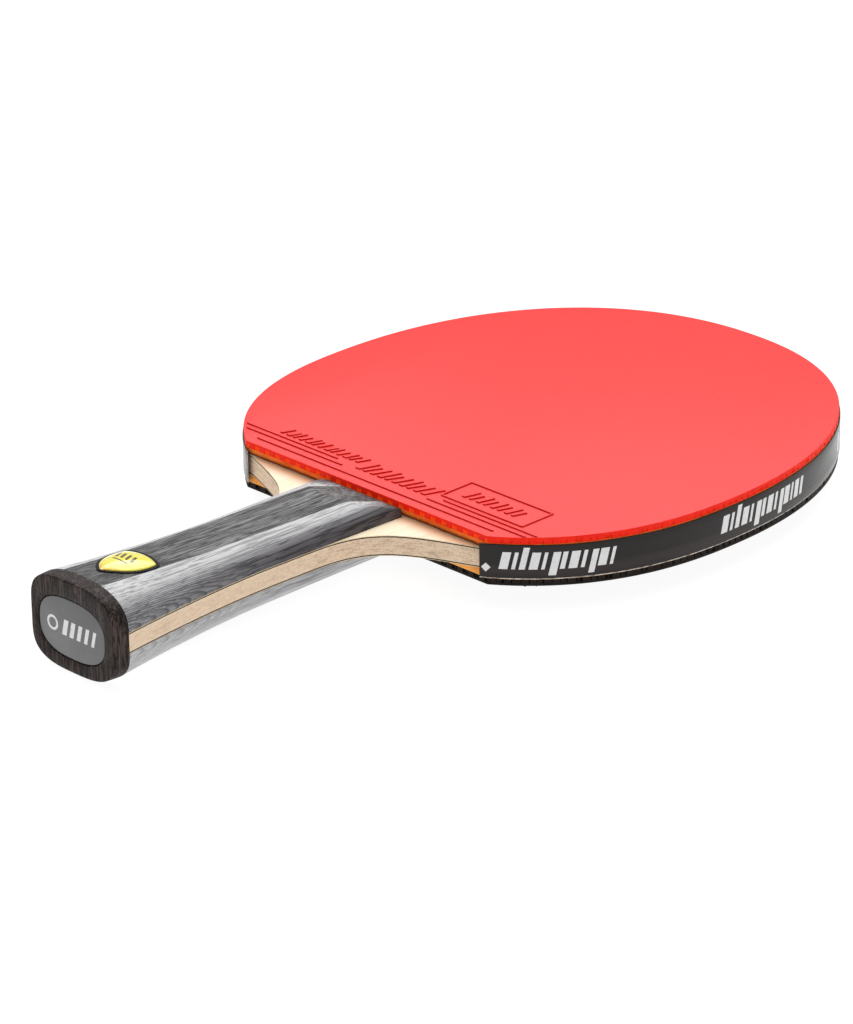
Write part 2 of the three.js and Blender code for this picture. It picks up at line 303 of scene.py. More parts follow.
def superellipse(halfWidth, halfHeight, power, angles):
    c, s = np.cos(angles), np.sin(angles)
    x = halfWidth * np.sign(c) * np.abs(c) ** (2 / power)
    return np.c_[x, halfHeight * np.sign(s) * np.abs(s) ** (2 / power)]


def levelRings(outline, profile):
    # the outline drawn in by each profile step's margin, at its height
    shift = outward(outline)
    return [np.c_[outline - shift * margin, np.full(len(outline), z)] for margin, z in profile]


def roundedProfile(zFrom, zTo, fromRadius, toRadius, steps=3):
    # margins and heights of a slab with rounded rims, from its inner face to its outer one
    way = math.copysign(1, zTo - zFrom)
    turn = [math.pi / 2 * i / steps for i in range(steps + 1)]
    start = [(fromRadius * (1 - math.sin(a)), zFrom + way * fromRadius * (1 - math.cos(a))) for a in turn]
    end = [(toRadius * (1 - math.cos(a)), zTo - way * toRadius * (1 - math.sin(a))) for a in turn]
    return start + end


headShape = {
    "upperRadius": 88.4,
    "upperPower": 2.17,
    "lowerRadius": 75.3,
    "lowerPower": 2.31,
    "bladeCornerX": 49.0,
    "cornerControl": (47.6, 102.7),
    "shoulderStart": (43.6, 102.1),
    "neckControls": ((24.2, 94.5), (14.8, 91.5)),
    "neckEndY": 72.7,
    "step": 1.6,
    "sideStep": 1.2,
}
sheetLow, sheetHigh = span("red_topsheet")
headCentreY = sheetHigh.y - headShape["upperRadius"]


def headArc(fromAngle, toAngle, radius, power):
    arc = superellipse(sheetHigh.x, radius, power, np.linspace(fromAngle, toAngle, 400))
    return arc + (0, headCentreY)


def headCurve(startX=None):
    # from the right side, over the tip, to the left; it starts at the rubber's corner or at startX
    lowerPower = headShape["lowerPower"]
    lowerRadius = headShape["lowerRadius"]
    if startX is None:
        start = math.asin(((headCentreY - sheetLow.y) / lowerRadius) ** (lowerPower / 2))
    else:
        start = math.acos((startX / sheetHigh.x) ** (lowerPower / 2))
    right = headArc(-start, 0, lowerRadius, lowerPower)
    top = headArc(0, math.pi, headShape["upperRadius"], headShape["upperPower"])
    left = right[::-1] * (-1, 1)
    return evenly(np.vstack([right[:-1], top, left[1:]]), headShape["step"])


def rubberOutline():
    curve = headCurve()
    straight = evenly(np.array([curve[-1], curve[0]]), headShape["step"])
    return np.vstack([curve, straight[1:-1]])


def bladeOutline():
    head = headCurve(headShape["bladeCornerX"])
    neckEnd = (handleWidth(headShape["neckEndY"]), headShape["neckEndY"])
    bend = bezier([head[0], headShape["cornerControl"], headShape["shoulderStart"]], 20)
    neck = bezier([headShape["shoulderStart"], *headShape["neckControls"], neckEnd], 60)
    ys = np.linspace(headShape["neckEndY"], capJointY, 60)
    tongue = np.c_[[handleWidth(y) for y in ys], ys]
    side = evenly(np.vstack([bend[:-1], neck[:-1], tongue]), headShape["sideStep"])
    return np.vstack([head, side[1:] * (-1, 1), side[:0:-1]])


handleShape = {
    "waistY": 52.7,
    "waistWidth": 13.4,
    "widthFlare": 3.8,
    "widthPower": 1.7,
    "frontSwell": 1.4,
    "swellPower": 1.4,
    "frontHeight": 9.2,
    "taper": 0.031,
    "heightFlare": 0.9,
    "heightPower": 2.5,
    "sectionPower": 2.5,
    "bevelStart": (87.2, 9.6),
    "bevelFrontZ": 5.1,
}
capJointY = span("end_cap")[1].y
stripHalf = span("handle_strip_red_side")[1].x
frontY = span("handle_strip_red_side")[1].y
bladeFace = span("outer_veneer_red_side")[1].z


def towardCap(y):
    waistY = handleShape["waistY"]
    return max(0.0, (waistY - y) / (waistY - capJointY))


def handleWidth(y):
    waistY = handleShape["waistY"]
    towardFront = max(0.0, (y - waistY) / (frontY - waistY))
    flare = handleShape["widthFlare"] * towardCap(y) ** handleShape["widthPower"]
    swell = handleShape["frontSwell"] * towardFront ** handleShape["swellPower"]
    return handleShape["waistWidth"] + flare + swell


def handleHeight(y):
    flare = handleShape["heightFlare"] * towardCap(y) ** handleShape["heightPower"]
    return handleShape["frontHeight"] + handleShape["taper"] * (frontY - y) + flare


def surfaceZ(x, y):
    power = handleShape["sectionPower"]
    across = min(1.0, abs(x) / handleWidth(y))
    return bladeFace + (handleHeight(y) - bladeFace) * (1 - across**power) ** (1 / power)


def bevelZ(y):
    startY, startZ = handleShape["bevelStart"]
    return startZ + (handleShape["bevelFrontZ"] - startZ) * (y - startY) / (frontY - startY)


redLook = {
    "face": (0.87, 0.024, 0.021),
    "faceDeep": (0.82, 0.020, 0.017),
    "cut": (0.86, 0.020, 0.004),
    "cutDeep": (0.72, 0.010, 0.003),
    # painted shade on the walls of the raised marks
    "wall": (0.60, 0.014, 0.011),
    "gapStraight": (0.98, 0.082, 0.007),
    "gapRound": (0.66, 0.022, 0.004),
    # painted glow on the sheet's cut edge and the gaps between its pimples
    "glow": 0.26,
    "rough": 0.40,
    "specular": 0.25,
    "markHeight": 0.36,
}
blackLook = {
    "face": (0.012, 0.011, 0.010),
    "faceDeep": (0.008, 0.007, 0.007),
    "cut": (0.020, 0.013, 0.010),
    "cutDeep": (0.006, 0.004, 0.003),
    "wall": (0.006, 0.006, 0.006),
    "gapStraight": (0.006, 0.004, 0.003),
    "gapRound": (0.003, 0.002, 0.002),
    "glow": 0.0,
    "rough": 0.44,
    "specular": 0.35,
    "markHeight": 0.16,
}
pimples = {
    "pitch": 2.3,
    "rowPitch": 2.3 * math.sqrt(3),
    "tipRadius": 0.98,
    "rootRadius": 1.16,
    "firstRowY": 102.25,
    "band": 2.4,
    "corners": 12,
    "trim": 0.05,
    "clipReach": 3.2,
    "backing": 0.36,
}


def sheetFaceFinish(name, look):
    p = Paint(name)
    cloud = p.noise((26, 26, 26), 3)
    grit = p.noise((0.35, 0.35, 0.35), 2)
    turn = 2 * math.pi
    across = (p.x * (turn / pimples["rowPitch"])).cosine()
    along = ((p.y - pimples["firstRowY"]) * (turn / pimples["pitch"])).cosine()
    dots = (across * along).step(0.1, 0.9)
    # painted shade: the pimples under the sheet show as a faint dot pattern, lighter over each pimple, mixed
    # with random tone
    colour = p.mix((cloud * 0.7 + dots * 0.3).step(0.3, 0.7), look["faceDeep"], look["face"])
    height = dots * 0.022 + grit * 0.006 + cloud * 0.05
    rough = look["rough"] + (grit - 0.5) * 0.08 + (cloud - 0.5) * 0.06
    return p.finish(colour, rough, p.bump(height, 1.0), specular=look["specular"])


def sheetCutFinish(name, look):
    # the knife's cut through the sheet: torn along the edge, with a painted glow that stands in for light
    # showing through the thin rubber
    p = Paint(name)
    tear = p.noise((0.5, 0.5, 0.16), 3)
    blotch = p.noise((3.0, 3.0, 1.2), 2)
    colour = p.mix((tear * 0.5 + blotch * 0.5).step(0.3, 0.7), look["cutDeep"], look["cut"])
    rough = 0.55 + (tear - 0.5) * 0.2
    normal = p.bump(tear, 0.05)
    return p.finish(colour, rough, normal, specular=0.15, glow=look["glow"])


def sheetGapFinish(name, look):
    # what shows between the cut pimples: sponge colour along the straight edge, sheet colour round the head,
    # with a painted glow that keeps it bright in shade
    p = Paint(name)
    grit = p.noise((0.4, 0.4, 0.4), 2)
    base = p.mix(p.y.step(102.6, 104.0), look["gapStraight"], look["gapRound"])
    colour = p.mix(grit.step(0.5, 0.8) * 0.4, base, (0.5, 0.4, 0.4), "MULTIPLY")
    normal = p.bump(grit, 0.05)
    return p.finish(colour, 0.8, normal, specular=0.1, glow=look["glow"])


def sheetWallFinish(name, look):
    # the sloping sides of the raised marks: duller, and painted a deeper colour as shade
    p = Paint(name)
    grit = p.noise((0.35, 0.35, 0.35), 2)
    colour = p.mix(grit, look["wall"], tuple(c * 1.25 for c in look["wall"]))
    return p.finish(colour, 0.6 + grit * 0.1, p.bump(grit, 0.02), specular=0.3)


spongeLook = {
    # each sheet's sponge: light, deep and pore colours, and how strongly its foot is painted as shade
    "red": ((0.98, 0.235, 0.040), (0.85, 0.140, 0.016), (0.46, 0.060, 0.008), 0.95),
    "black": ((1.00, 0.560, 0.190), (0.95, 0.400, 0.090), (0.70, 0.180, 0.030), 0.15),
    # painted shade: the dark brown of the sponge's foot, and the heights above the blade it fades over
    "soaked": (0.055, 0.011, 0.003),
    "poreSize": 0.24,
    "footShadeUpTo": (0.15, 1.55),
    # a faint painted glow on the sponge
    "glow": 0.10,
}


def spongeFinish(sheet):
    # orange cellular sponge with a faint painted glow; its foot is painted dark brown as shade where it
    # meets the blade
    p = Paint(sheet + "SheetSponge")
    light, deep, pore, stainAndShade = spongeLook[sheet]
    size = spongeLook["poreSize"]
    sockets = {"Vector": p.vector("MULTIPLY", p.place, (1 / size,) * 3), "Scale": 1.0}
    pores = p.node("ShaderNodeTexVoronoi", {"feature": "F1"}, sockets, out="Distance")
    hollow = 1 - pores.step(0.18, 0.5)
    cloud = p.noise((5, 5, 2), 2)
    blot = p.noise((1.6, 1.6, 0.7), 3)
    # painted shade at the sponge's foot, fading up from the blade
    low, high = spongeLook["footShadeUpTo"]
    above = p.z.size() - bladeFace + (blot - 0.5) * 1.1
    soaked = 1 - above.step(low, high)
    body = p.mix(cloud.step(0.3, 0.7), deep, light)
    body = p.mix(soaked * stainAndShade, body, spongeLook["soaked"])
    colour = p.mix(hollow * 0.40, body, pore)
    normal = p.bump(1 - hollow, 0.06)
    return p.finish(colour, 0.9, normal, specular=0.2, glow=spongeLook["glow"])


glueLook = {"pale": (0.80, 0.70, 0.50), "amber": (0.62, 0.46, 0.24)}


def glueFinish():
    p = Paint("driedGlue")
    cloud = p.noise((2.2, 2.2, 0.3), 3)
    colour = p.mix(cloud.step(0.35, 0.65), glueLook["amber"], glueLook["pale"])
    return p.finish(colour, 0.45 + cloud * 0.2, p.bump(cloud, 0.02))


veneerLook = {
    "pale": (0.975, 0.850, 0.630),
    "grain": (0.860, 0.620, 0.350),
    "ray": (0.995, 0.930, 0.780),
    # painted shade beside the sponge, and the y over which it comes in
    "warm": (0.820, 0.430, 0.200),
    "spongeShadeFrom": (97.0, 102.4),
}


def veneerFinish():
    # cream face veneer: fine long grain down the paddle, a few broader bands, and painted shade, darker and
    # warmer, beside the sponge
    p = Paint("creamVeneer")
    drift = p.noise((9, 60, 9), 2)
    bent = p.join(p.x + drift * 5.0, p.y, p.z)
    fine = p.grain((0.30, 12, 0.6), 3, bent)
    band = p.grain((2.6, 70, 3.0), 2, bent)
    ray = p.grain((0.5, 1.6, 0.5), 2)
    share = (fine * 0.55 + band * 0.45).step(0.42, 0.70)
    colour = p.mix(share * 0.68, veneerLook["pale"], veneerLook["grain"])
    colour = p.mix(ray.step(0.6, 0.8) * 0.35, colour, veneerLook["ray"])
    # painted shade on the veneer at the foot of the rubber's wall
    low, high = veneerLook["spongeShadeFrom"]
    colour = p.mix(p.y.step(low, high) * 0.7, colour, veneerLook["warm"])
    return p.finish(colour, 0.5 + fine * 0.15, p.bump(fine, 0.03))


plyLook = {
    "core": ((0.920, 0.715, 0.520), (0.640, 0.440, 0.285)),
    "medial": ((0.940, 0.740, 0.540), (0.680, 0.480, 0.310)),
    "veneerEdge": ((0.900, 0.740, 0.500), (0.640, 0.460, 0.270)),
    "fibre": ((0.012, 0.007, 0.004), (0.005, 0.003, 0.002)),
    "soil": (0.165, 0.100, 0.060),
}


def plyFinish(name, colours, stainAndShade):
    # the cut edge of a ply: short streaks along the edge, pores, and stains from handling
    p = Paint(name)
    light, dark = colours
    streak = p.noise((2.8, 2.8, 0.35), 3)
    speck = p.noise((0.55, 0.55, 0.45), 3, 0.6, 4.0)
    tick = p.noise((0.45, 0.45, 2.2), 2, 0.55, 7.0)
    smudge = p.noise((9, 9, 5), 3, 0.55, 9.0)
    towardHead = p.y.step(55.0, 85.0)
    share = (streak * 0.5 + speck * 0.5).step(0.42, 0.66) * (0.55 + towardHead * 0.45)
    colour = p.mix(share, light, dark)
    worn = smudge.step(0.50, 0.68) * (0.45 + towardHead * 0.55)
    colour = p.mix((tick.step(0.56, 0.68) * worn).most(worn * 0.3) * stainAndShade, colour, plyLook["soil"])
    normal = p.bump(speck * 0.6 + streak * 0.4, 0.06)
    return p.finish(colour, 0.6 + speck * 0.15, normal, specular=0.2)


stripLook = {
    "body": (0.092, 0.092, 0.093),
    "light": (0.270, 0.268, 0.268),
    "line": (0.006, 0.006, 0.006),
}


def stripFinish():
    # dark grey dyed wood of the centre strip: straight grain in broken black lines
    p = Paint("darkStripWood")
    drift = p.noise((12, 80, 12), 2)
    bent = p.join(p.x + drift * 5.0, p.y, p.z)
    silk = p.grain((0.75, 24, 0.75), 3, bent)
    line = p.grain((0.52, 34, 0.52), 2, bent)
    pore = p.grain((0.38, 6.5, 0.38), 2)
    broad = p.noise((3.4, 38, 3.4), 2, 0.5, 3.0)
    colour = p.mix((silk * 0.6 + broad * 0.4).step(0.32, 0.72), stripLook["body"], stripLook["light"])
    dark = line.step(0.49, 0.58) * 0.82
    dark = dark.most(pore.step(0.55, 0.63) * 0.9)
    colour = p.mix(dark, colour, stripLook["line"])
    colour = p.mix((1 - p.y.step(4.0, 50.0)) * 0.32, colour, stripLook["line"])
    height = silk * 0.4 - dark * 0.8
    return p.finish(colour, 0.44 + silk * 0.16, p.bump(height, 0.08), specular=0.22)


blockLook = {
    "silver": (0.590, 0.590, 0.600),
    "mid": (0.300, 0.294, 0.308),
    "dusk": (0.095, 0.090, 0.098),
    "line": (0.010, 0.009, 0.011),
    "archAxis": 3.4,
    "archPitch": 4.8,
    "archCurve": 1.5,
    "archEnd": (34.0, 56.0),
}


def blockFinish(name, flankShadeDepth, ringShift):
    # silver dyed wood of the side blocks, with arching rings: pale on the crown and darker down the flank
    # and towards the front, partly the wood's tone and partly painted light and shade
    p = Paint(name)
    look = blockLook
    drift = p.noise((14, 44, 14), 2, 0.5, ringShift)
    side = p.x.size()
    up = p.z.size()
    down = (side - stripHalf) * 0.55 + (handleShape["frontHeight"] - up) * 0.85
    offAxis = up - look["archAxis"]
    wobble = p.noise((7, 24, 5), 1, 0.5, ringShift + 2)
    reach = p.y + offAxis * offAxis * look["archCurve"] + wobble * 7 + drift * 10
    wave = (reach * (1 / look["archPitch"])).part()
    nearButt = 1 - p.y.step(*look["archEnd"])
    arches = wave.step(0.35, 0.85) * (1 - wave.step(0.88, 1.0)) * nearButt
    bent = p.join(p.x + drift * 4.0, p.y, p.z + drift * 3.0)
    silk = p.grain((0.70, 40, 0.70), 3, bent)
    line = p.grain((0.48, 38, 0.48), 2, bent)
    pore = p.grain((0.36, 6.0, 0.36), 2)
    onFlank = down.step(0.7, 7.2)
    towardFront = p.y.step(20.0, 75.0)
    # painted light and shade: darker down the flank and towards the front, with the grain's own tone mixed
    # in
    shade = onFlank * (0.52 + towardFront * 0.48) * flankShadeDepth + (silk - 0.5) * 0.75 + (drift - 0.5) * 0.20
    colour = p.mix(shade.step(0.0, 0.62), look["silver"], look["mid"])
    colour = p.mix(shade.step(0.40, 1.0), colour, look["dusk"])
    archShare = down.step(1.2, 3.4)
    weight = 0.35 + flankShadeDepth * 0.65
    dark = arches * archShare * 0.66
    dark = dark.most(line.step(0.50, 0.60) * (0.50 + onFlank * 0.28) * (1 - nearButt * archShare * 0.5))
    dark = dark.most(pore.step(0.56, 0.65) * (0.44 + onFlank * 0.26)) * weight
    colour = p.mix(dark, colour, look["line"])
    height = silk * 0.4 - dark * 0.7
    return p.finish(colour, 0.42 + silk * 0.16, p.bump(height, 0.08), specular=0.30)


capLook = {
    "body": (0.018, 0.013, 0.011),
    "streak": (0.095, 0.066, 0.058),
    "pore": (0.002, 0.0015, 0.0015),
}


def capFinish():
    # black-brown open-grained wood whose grain stands upright in the cap
    p = Paint("darkCapWood")
    broad = p.grain((1.3, 1.3, 26), 2)
    fine = p.grain((0.50, 0.50, 8), 3)
    pore = p.grain((0.40, 0.40, 2.6), 2)
    share = (broad * 0.4 + fine * 0.6).step(0.44, 0.64)
    colour = p.mix(share, capLook["body"], capLook["streak"])
    dark = pore.step(0.52, 0.62)
    colour = p.mix(dark * 0.9, colour, capLook["pore"])
    normal = p.bump(fine * 0.5 - dark * 0.8, 0.10)
    return p.finish(colour, 0.42 + fine * 0.2, normal, specular=0.16)


tapeLook = {
    "body": (0.0070, 0.0038, 0.0028),
    "dust": (0.026, 0.017, 0.014),
    # painted highlight on the tape's lower rim and ends
    "edgeHighlight": (0.74, 0.66, 0.58),
    "cutDark": (0.10, 0.08, 0.07),
}


def tapeFinish():
    p = Paint("blackTape")
    cloud = p.noise((9, 9, 3), 3)
    weave = p.noise((0.25, 0.25, 0.25), 2)
    wrinkle = p.noise((14, 14, 3.2), 2)
    rubbed = (1 - (p.z + 2.6 + (cloud - 0.5) * 2.4).size().step(0.2, 1.9)) * 0.8
    colour = p.mix(rubbed.most(cloud.step(0.50, 0.8) * 0.35), tapeLook["body"], tapeLook["dust"])
    rough = 0.26 + (cloud - 0.5) * 0.14 + (weave - 0.5) * 0.06 + rubbed * 0.08
    height = weave * 0.005 + wrinkle * 0.16
    normal = p.bump(height, 1.0)
    return p.finish(colour, rough, normal, specular=0.12, coat=0.40, coatRough=0.14)


def tapeEdgeFinish():
    # the tape's lower rim and its ends: a pale painted highlight, broken by dark fuzz
    p = Paint("tapeEdgeHighlight")
    fuzz = p.noise((1.6, 1.6, 0.25), 3)
    colour = p.mix(fuzz.step(0.42, 0.66), tapeLook["edgeHighlight"], tapeLook["cutDark"])
    return p.finish(colour, 0.6, p.bump(fuzz, 0.03))


printLook = {"white": (0.86, 0.86, 0.86), "worn": (0.60, 0.60, 0.60)}


def printFinish():
    # white ink, a little thin in places
    p = Paint("whiteInk")
    speckle = p.noise((0.4, 0.4, 0.4), 3)
    thin = p.noise((2.2, 2.2, 1.2), 2)
    share = (speckle * 0.5 + thin * 0.5).step(0.50, 0.68)
    colour = p.mix(share * 0.6, printLook["white"], printLook["worn"])
    return p.finish(colour, 0.42 + speckle * 0.1, p.bump(speckle, 0.01))


plateLook = {"grey": (0.135, 0.135, 0.138), "pale": (0.165, 0.165, 0.168)}


def plateFinish():
    p = Paint("greyPlate")
    brush = p.noise((0.3, 0.3, 0.3), 3)
    cloud = p.noise((7, 7, 7), 2)
    colour = p.mix((brush * 0.4 + cloud * 0.6).step(0.3, 0.7), plateLook["grey"], plateLook["pale"])
    return p.finish(colour, 0.36 + brush * 0.1, p.bump(brush, 0.008))


labelLook = {"black": (0.004, 0.004, 0.004), "worn": (0.010, 0.010, 0.010)}


def labelFinish():
    p = Paint("blackLabel")
    brush = p.noise((0.4, 0.4, 0.4), 2)
    colour = p.mix(brush, labelLook["black"], labelLook["worn"])
    return p.finish(colour, 0.34 + brush * 0.1, p.bump(brush, 0.01), specular=0.06)


domeLook = {
    "yellow": (0.94, 0.78, 0.030),
    "lemon": (0.97, 0.90, 0.150),
    "amber": (0.86, 0.46, 0.008),
    "ink": (0.010, 0.010, 0.008),
    "stripePitch": 1.9,
}


def domeFinish():
    # yellow print with plain slanted stripes, under clear resin
    p = Paint("yellowDome")
    away = p.y - badgeShape["y"]
    cloud = p.noise((3.5, 3.5, 3.5), 2)
    fold = p.noise((2.4, 1.8, 2.4), 2, 0.5, 5.0)
    colour = p.mix(cloud.step(0.3, 0.7), domeLook["yellow"], domeLook["lemon"])
    amber = (fold * 1.1 - away * 0.10).step(0.95, 1.45)
    colour = p.mix(amber * 0.85, colour, domeLook["amber"])
    along = p.x + away * 0.45
    stripes = 1 - ((along * (1 / domeLook["stripePitch"])).part() - 0.5).size().step(0.20, 0.30)
    field = (1 - along.size().step(3.6, 3.8)) * (1 - (away - 1.6).size().step(1.5, 1.7))
    underline = (1 - (away + 1.2).size().step(0.22, 0.34)) * (1 - p.x.size().step(2.6, 2.8))
    ink = (stripes * field).most(underline)
    colour = p.mix(ink * 0.94, colour, domeLook["ink"])
    return p.finish(colour, 0.16, p.bump(cloud, 0.01), coat=0.8, coatRough=0.03, specular=0.3)


floorLook = {
    "tone": (0.15, 0.15, 0.15),
    "toneHigh": (0.17, 0.17, 0.17),
    "light": (0.93, 0.93, 0.93),
    "lightHigh": (0.9393, 0.9393, 0.9393),
    "halfSize": 12.0,
}


def floorFinish():
    # a light table: an evenly lit pale sheet
    p = Paint("paleFloor")
    cloud = p.noise((160, 160, 160), 2)
    grain = p.noise((1.2, 1.2, 1.2), 2)
    colour = p.mix(cloud, floorLook["tone"], floorLook["toneHigh"])
    light = p.mix(cloud, floorLook["light"], floorLook["lightHigh"])
    return p.finish(colour, 0.7 + grain * 0.1, p.bump(grain, 0.01), specular=0.1, glow=1.0, light=light)


plyShape = {"rimRadius": 0.18}


def buildBlade():
    veneerEdge = plyFinish("veneerCutEdge", plyLook["veneerEdge"], 0.3)
    looks = {
        "core_ply": ([plyFinish("corePlyEdge", plyLook["core"], 0.75)], "core_wood"),
        "medial_ply": ([plyFinish("medialPlyEdge", plyLook["medial"], 0.5)], "medial_wood"),
        "fibre_layer": ([plyFinish("fibreEdge", plyLook["fibre"], 0.2)], "fibre"),
        "outer_veneer": ([veneerFinish(), veneerEdge], "outer_veneer"),
    }
    outline = bladeOutline()
    for ply, (finishes, slotName) in looks.items():
        for side in [""] if ply == "core_ply" else ["_red_side", "_black_side"]:
            node = ply + side
            low, high = span(node)
            inner, outer = (high.z, low.z) if side == "_black_side" else (low.z, high.z)
            profile = [(0.0, inner), (0.0, outer)]
            if ply == "outer_veneer":
                profile = roundedProfile(inner, outer, 0.0, plyShape["rimRadius"])
            stock = Stock()
            rings = levelRings(outline, profile)
            stock.skin(rings if outer > inner else rings[::-1], len(finishes) - 1, startKind=0, endKind=0)
            stock.piece(node, finishes, slotName)
    print("blade built:", len(outline), "points round each ply")


sheetKinds = {"face": 0, "cut": 1, "gap": 2, "wall": 3}  # the order of a sheet's finishes
sheetShape = {
    "skin": 0.66,
    "rimRadius": 0.14,
    "backRadius": 0.03,
    "spongeTopInset": 0.06,
    "spongeLowInset": 0.62,
    "spongeFoot": 0.45,
    "glueInset": 0.25,
}
raisedMarks = {
    "lineWidth": 0.55,
    "slope": 0.05,
    "root": 0.04,
    "edgeLineY": 105.35,
    "edgeLineHalf": 45.0,
    "pairYs": (108.3, 110.5),
    "pairLeft": ((-52.5, -15.0), (-54.8, -19.0)),
    "pairRight": ((17.5, 53.8), (21.5, 55.8)),
    "frame": (18.6, 112.5, 48.5, 123.9),
    "bars": (
        ((-43.5, 112.2), 13, 2.45, (1.0, 1.5, 0.8), (3.8, 3.2), 1.5),
        ((-11.0, 109.4), 10, 2.75, (1.6, 1.0, 1.3), (5.8, 4.6, 5.2), 2.2),
        ((23.0, 115.6), 8, 2.6, (1.2, 0.8), (4.8, 4.0), 1.4),
    ),
}


def sideNormals(outline):
    # a unit vector out of each side of a counterclockwise outline
    along = np.roll(outline, -1, 0) - outline
    return np.c_[along[:, 1], -along[:, 0]] / np.hypot(*along.T)[:, None]


def clipToOutline(ring, outline, normals):
    # the part of a small convex ring that lies inside the convex outline
    away = np.hypot(*((outline + np.roll(outline, -1, 0)) / 2 - ring.mean(0)).T)
    for i in np.nonzero(away < pimples["clipReach"])[0]:
        height = (ring - outline[i]) @ normals[i]
        kept = []
        for j in range(len(ring)):
            k = (j + 1) % len(ring)
            if height[j] <= 0:
                kept.append(ring[j])
            if (height[j] < 0 < height[k]) or (height[k] < 0 < height[j]):
                share = height[j] / (height[j] - height[k])
                kept.append(ring[j] + share * (ring[k] - ring[j]))
        if len(kept) < 3:
            return None
        ring = np.array(kept)
    return ring


def addPimples(stock, outline, rootZ, tipZ):
    # tapered pimples in a band along the edge, cut off where the edge crosses them
    pitch, rowPitch = pimples["pitch"], pimples["rowPitch"]
    low, high = outline.min(0), outline.max(0)
    reach = int(high[0] / rowPitch) + 2
    spots = []
    for j in range(int((high[1] - low[1]) / (pitch / 2)) + 2):
        y = pimples["firstRowY"] + j * pitch / 2
        shift = (j % 2) * rowPitch / 2
        spots.extend((i * rowPitch + shift, y) for i in range(-reach, reach + 1))
    spots = np.array(spots)
    trimmed = outline - outward(outline) * pimples["trim"]
    normals = sideNormals(trimmed)
    past = ((spots[:, None] - trimmed) * normals).sum(2).max(1)  # below 0 inside the outline
    radius = pimples["rootRadius"]
    kept = spots[(past > -pimples["band"]) & (past < radius * 0.8)]
    turns = np.linspace(0, 2 * math.pi, pimples["corners"], endpoint=False)
    circle = np.c_[np.cos(turns), np.sin(turns)]
    for spot in kept:
        root = clipToOutline(spot + circle * radius, trimmed, normals)
        if root is None:
            continue
        centre = np.clip(spot, root.min(0), root.max(0))
        tip = centre + (root - centre) * (pimples["tipRadius"] / radius)
        rings = [np.c_[root, np.full(len(root), rootZ)], np.c_[tip, np.full(len(tip), tipZ)]]
        stock.stack(rings, sheetKinds["cut"])
    return len(kept)


def slantedBar(x, y, width, height, lean):
    return [(x, y), (x + width, y), (x + width + lean, y + height), (x + lean, y + height)]


def addRaisedMarks(stock, faceZ, outZ):
    marks = raisedMarks

    def block(corners):
        # a raised flat shape with sloping walls
        corners = np.array(corners, float)
        inner = corners - outward(corners) * marks["slope"]
        sunk = faceZ - math.copysign(marks["root"], outZ - faceZ)
        rings = [np.c_[corners, np.full(len(corners), sunk)], np.c_[inner, np.full(len(inner), outZ)]]
        stock.stack(rings, sheetKinds["wall"], sheetKinds["face"])

    def line(start, end):
        start, end = np.array(start, float), np.array(end, float)
        along = (end - start) / np.hypot(*(end - start))
        side = np.array([-along[1], along[0]]) * marks["lineWidth"] / 2
        block([start - side, end - side, end + side, start + side])

    half, y = marks["edgeLineHalf"], marks["edgeLineY"]
    line((-half, y), (half, y))
    for y, left, right in zip(marks["pairYs"], marks["pairLeft"], marks["pairRight"]):
        line((left[0], y), (left[1], y))
        line((right[0], y), (right[1], y))
    x0, y0, x1, y1 = marks["frame"]
    corners = [(x0, y0), (x1, y0), (x1, y1), (x0, y1)]
    for start, end in zip(corners, corners[1:] + corners[:1]):
        line(start, end)
    # plain slanted bars, in groups
    for (x, y), count, pitch, widths, heights, lean in marks["bars"]:
        for i in range(count):
            block(slantedBar(x + i * pitch, y, widths[i % len(widths)], heights[i % len(heights)], lean))


def buildRubbers():
    outline = rubberOutline()
    glue = glueFinish()
    for colour, look in (("red", redLook), ("black", blackLook)):
        finishes = [
            sheetFaceFinish(colour + "SheetFace", look),
            sheetCutFinish(colour + "SheetCut", look),
            sheetGapFinish(colour + "SheetGap", look),
            sheetWallFinish(colour + "MarkWall", look),
        ]
        outer = 1 if colour == "red" else -1

        def ends(node):
            # a layer's inner and outer height
            return sorted((span(node)[0].z, span(node)[1].z), key=abs)

        inZ, outZ = ends(colour + "_topsheet")
        backZ = outZ - outer * sheetShape["skin"]
        profile = roundedProfile(backZ, outZ, sheetShape["backRadius"], sheetShape["rimRadius"])
        stock = Stock()
        stock.stack(levelRings(outline, profile), sheetKinds["cut"], sheetKinds["face"])
        count = addPimples(stock, outline, backZ, inZ)
        backing = [(pimples["backing"], z) for z in (inZ, backZ)]
        stock.stack(levelRings(outline, backing), sheetKinds["gap"])
        addRaisedMarks(stock, outZ, outZ + outer * look["markHeight"])
        stock.piece(colour + "_topsheet", finishes, colour + "_rubber", sharp=50)

        inZ, outZ = ends(colour + "_sponge")
        low = sheetShape["spongeLowInset"]
        footZ = inZ + outer * sheetShape["spongeFoot"]
        profile = [(low, inZ), (low * 0.6, footZ), (sheetShape["spongeTopInset"], outZ)]
        stock = Stock()
        stock.stack(levelRings(outline, profile))
        stock.piece(colour + "_sponge", [spongeFinish(colour)], "sponge")

        stock = Stock()
        stock.stack(levelRings(outline, [(sheetShape["glueInset"], z) for z in ends(colour + "_glue_film")]))
        stock.piece(colour + "_glue_film", [glue], "glue")
        print(colour, "rubber built:", count, "pimples")


